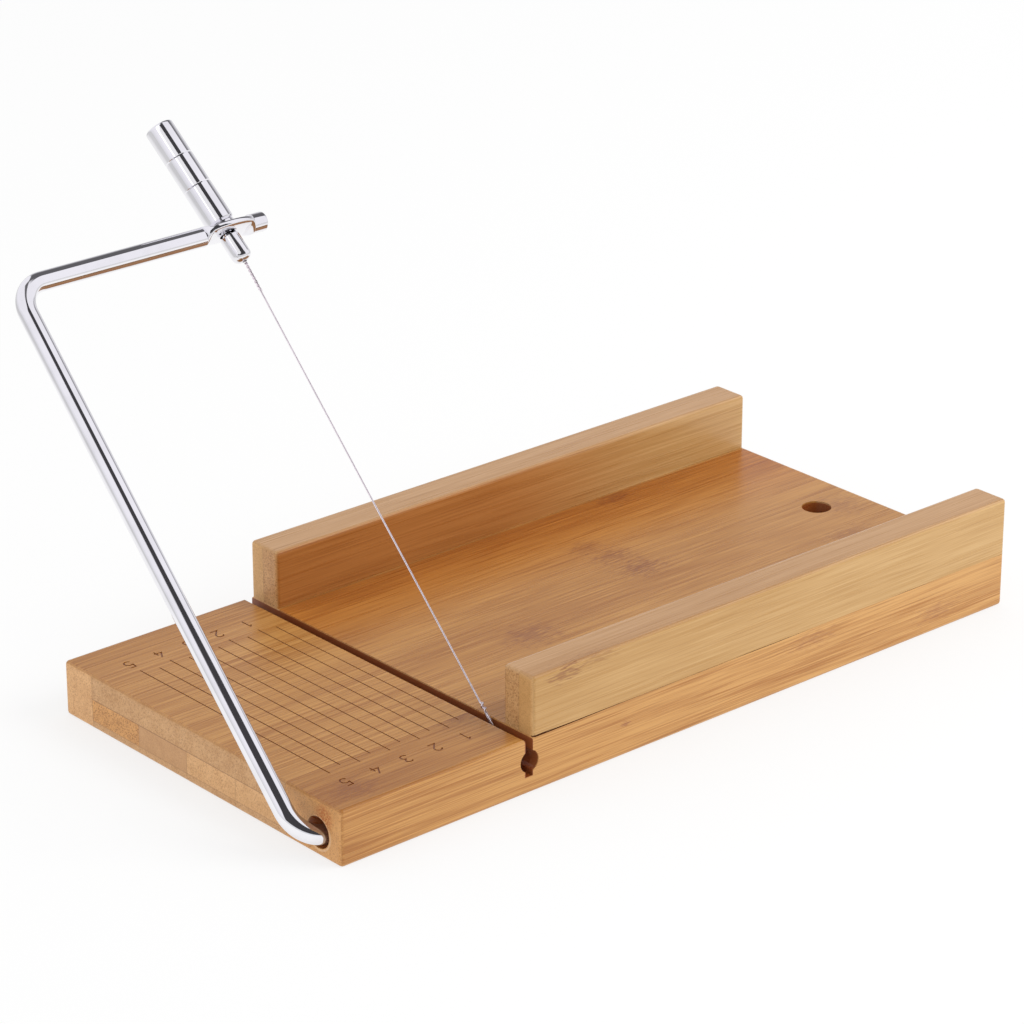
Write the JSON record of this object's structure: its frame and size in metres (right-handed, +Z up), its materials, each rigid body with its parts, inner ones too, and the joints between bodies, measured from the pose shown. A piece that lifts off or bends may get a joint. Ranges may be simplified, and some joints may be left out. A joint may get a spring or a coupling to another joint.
{
  "type": "cheese wire cutter",
  "caption": "Bamboo cheese board with guide rails, burnt scale and a hinged steel arm that swings a tensioned cutting wire into a kerf.",
  "frame": {"origin": "centre of the board's underside", "axes": "+X along the board away from the graduated end and the arm, +Y from the arm's pivot side to the far side, +Z up"},
  "size_m": [0.2543, 0.15, 0.15],
  "materials": {
    "bamboo_face": "caramelised bamboo, sanded and oiled, satin",
    "bamboo_core": "bamboo end grain, sanded",
    "bamboo_rail": "light bamboo, sanded and oiled, satin",
    "polished_steel": "bright polished",
    "wire_steel": "drawn stainless wire",
    "screw_steel": "zinc plated"
  },
  "bodies": {
    "board": {"near_edge_strip": "bamboo_face", "far_edge_strip": "bamboo_face", "scale_face_ply": "bamboo_face", "bed_face_ply": "bamboo_face", "back_ply": "bamboo_face", "core_strip_1": "bamboo_core", "core_strip_2": "bamboo_core", "core_strip_3": "bamboo_core", "core_strip_4": "bamboo_core", "near_rail_inner_lamella": "bamboo_rail", "near_rail_outer_lamella": "bamboo_rail", "far_rail_inner_lamella": "bamboo_rail", "far_rail_outer_lamella": "bamboo_rail", "near_rail_screw_1": "screw_steel", "near_rail_screw_2": "screw_steel", "near_rail_screw_3": "screw_steel", "far_rail_screw_1": "screw_steel", "far_rail_screw_2": "screw_steel", "far_rail_screw_3": "screw_steel"},
    "arm": {"arm_rod": "polished_steel", "cutting_wire": "wire_steel", "thrust_washer": "polished_steel"},
    "handle": {"handle": "polished_steel"},
    "stud": {"tension_stud": "polished_steel"}
  },
  "joints": [
    {"name": "arm_swing", "type": "hinge", "parent": "board", "child": "arm", "pos_m": [-0.1226, -0.0512, 0.0059], "axis": [1, 0, 0], "range_deg": [-45.5, 99.5]},
    {"name": "handle_turn", "type": "hinge", "parent": "arm", "child": "handle", "pos_m": [-0.0602, 0.0642, 0.12334], "axis": [-0.108, 0.6968, 0.7091], "range_deg": [0, 1080]},
    {"name": "stud_travel", "type": "slide", "parent": "arm", "child": "stud", "axis": [0.108, -0.6968, -0.7091], "range_m": [0, 0.0021]}
  ],
  "couplings": [
    {"joint": "stud_travel", "follows": "handle_turn", "m_per_rad": 0.00011141}
  ]
}
